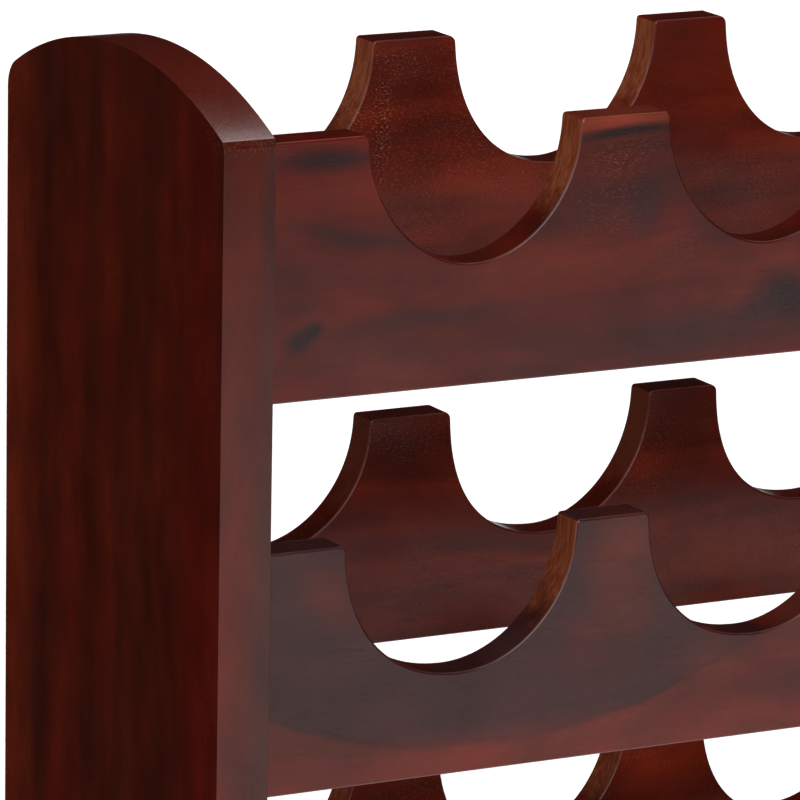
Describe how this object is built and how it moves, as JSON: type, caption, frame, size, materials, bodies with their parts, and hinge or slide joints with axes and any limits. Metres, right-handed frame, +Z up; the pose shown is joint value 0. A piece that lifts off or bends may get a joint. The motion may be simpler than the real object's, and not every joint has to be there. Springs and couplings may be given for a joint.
{
  "type": "wine rack",
  "caption": "Free-standing wooden wine rack: arched side panels joined by front and back scalloped rails that hold bottles lying on their sides.",
  "frame": {"origin": "on the floor, under the middle of the rack", "axes": "+X to the right seen from the front, +Y to the back, +Z up"},
  "size_m": [0.5886, 0.1916, 0.6038],
  "materials": {
    "panel_wood": "satin lacquer over dark red-brown stain",
    "rail_wood": "satin lacquer over dark red-brown stain",
    "dowel_wood": "bare turned beech",
    "glide_plastic": "moulded nylon"
  },
  "bodies": {
    "root": {"left_side_panel": "panel_wood", "right_side_panel": "panel_wood", "front_rail_1": "rail_wood", "back_rail_1": "rail_wood", "front_rail_1_dowels": "dowel_wood", "back_rail_1_dowels": "dowel_wood", "front_rail_2": "rail_wood", "back_rail_2": "rail_wood", "front_rail_2_dowels": "dowel_wood", "back_rail_2_dowels": "dowel_wood", "front_rail_3": "rail_wood", "back_rail_3": "rail_wood", "front_rail_3_dowels": "dowel_wood", "back_rail_3_dowels": "dowel_wood", "front_rail_4": "rail_wood", "back_rail_4": "rail_wood", "front_rail_4_dowels": "dowel_wood", "back_rail_4_dowels": "dowel_wood", "left_front_glide": "glide_plastic", "left_back_glide": "glide_plastic", "right_front_glide": "glide_plastic", "right_back_glide": "glide_plastic"}
  },
  "joints": []
}
